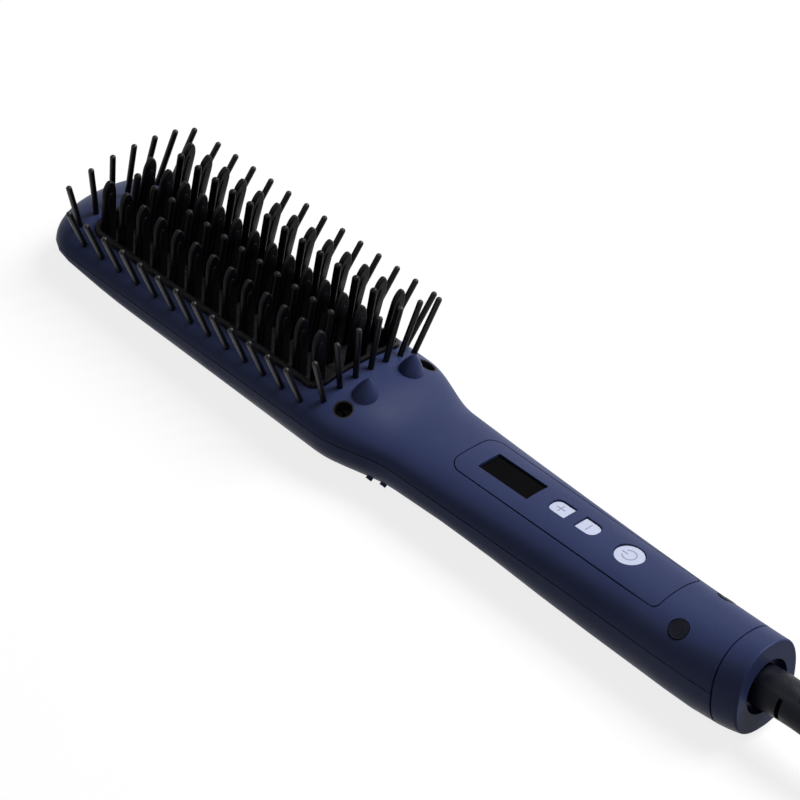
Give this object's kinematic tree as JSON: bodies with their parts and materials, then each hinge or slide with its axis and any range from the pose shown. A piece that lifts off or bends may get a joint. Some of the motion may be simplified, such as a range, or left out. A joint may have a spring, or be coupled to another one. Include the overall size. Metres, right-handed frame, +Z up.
{
  "type": "heated straightening brush",
  "caption": "Handheld heated straightening brush with blade teeth, rods and outer pins on a long head, a slim grip with display and keys, and a swivelling mains cord.",
  "frame": {"origin": "centre of the bounding box's bottom face, without the cord, with the brush lying on its back", "axes": "+X from the tip to the cord, +Z up through the bristles, +Y across the head"},
  "size_m": [0.3783, 0.1097, 0.0419],
  "materials": {
    "shell": "matte soft-touch",
    "black_plastic": "matte",
    "tooth": "satin",
    "pin": "satin",
    "heater_metal": "black coated",
    "steel": "plain",
    "lens": "gloss",
    "board": "solder mask",
    "key": "satin silver",
    "plug_rubber": "matte",
    "contact": "plain",
    "guard_rubber": "satin",
    "cord": "satin",
    "cord_plug": "satin"
  },
  "bodies": {
    "housing": {"upper_shell": "shell", "back_shell": "shell", "end_cap": "shell", "bed_frame": "black_plastic", "heat_plate": "heater_metal", "blades_near": "tooth", "blades_middle": "tooth", "blades_far": "tooth", "rods_near": "tooth", "rods_far": "tooth", "pins_near": "pin", "pins_far": "pin", "pins_tip": "pin", "pins_shoulder": "pin", "heater_bars": "heater_metal", "heater_clamp": "steel", "thermal_fuse": "steel", "outlet_tubes": "black_plastic", "outlet_needles": "steel", "ion_module": "black_plastic", "control_panel": "shell", "display_lens": "lens", "display_module": "board", "switches": "steel", "main_board": "board", "power_board": "board", "filter_capacitor": "black_plastic", "screw_plugs": "plug_rubber", "housing_screws": "steel", "swivel_housing": "black_plastic", "contact_springs": "contact"},
    "plus_key": {"button_plus": "key"},
    "minus_key": {"button_minus": "key"},
    "power_key": {"button_power": "key"},
    "cord_end": {"swivel_core": "black_plastic", "contact_rings": "contact", "cord_guard": "guard_rubber", "cord_lead": "cord", "cord_coil": "cord", "cord_tail": "cord", "plug_body": "cord_plug", "plug_blades": "contact"}
  },
  "joints": [
    {"name": "plus_key_press", "type": "slide", "parent": "housing", "child": "plus_key", "axis": [0.0558, 0, -0.9984], "range_m": [0, 0.0005], "stiffness_N_per_m": 200, "springref_m": -0.0005},
    {"name": "minus_key_press", "type": "slide", "parent": "housing", "child": "minus_key", "axis": [0.0558, 0, -0.9984], "range_m": [0, 0.0005], "stiffness_N_per_m": 200, "springref_m": -0.0005},
    {"name": "power_key_press", "type": "slide", "parent": "housing", "child": "power_key", "axis": [0.0558, 0, -0.9984], "range_m": [0, 0.0005], "stiffness_N_per_m": 200, "springref_m": -0.0005},
    {"name": "cord_swivel", "type": "hinge", "parent": "housing", "child": "cord_end", "pos_m": [0.13192, 0, 0.0168], "axis": [0.9903, 0, 0.1392], "continuous": true}
  ]
}
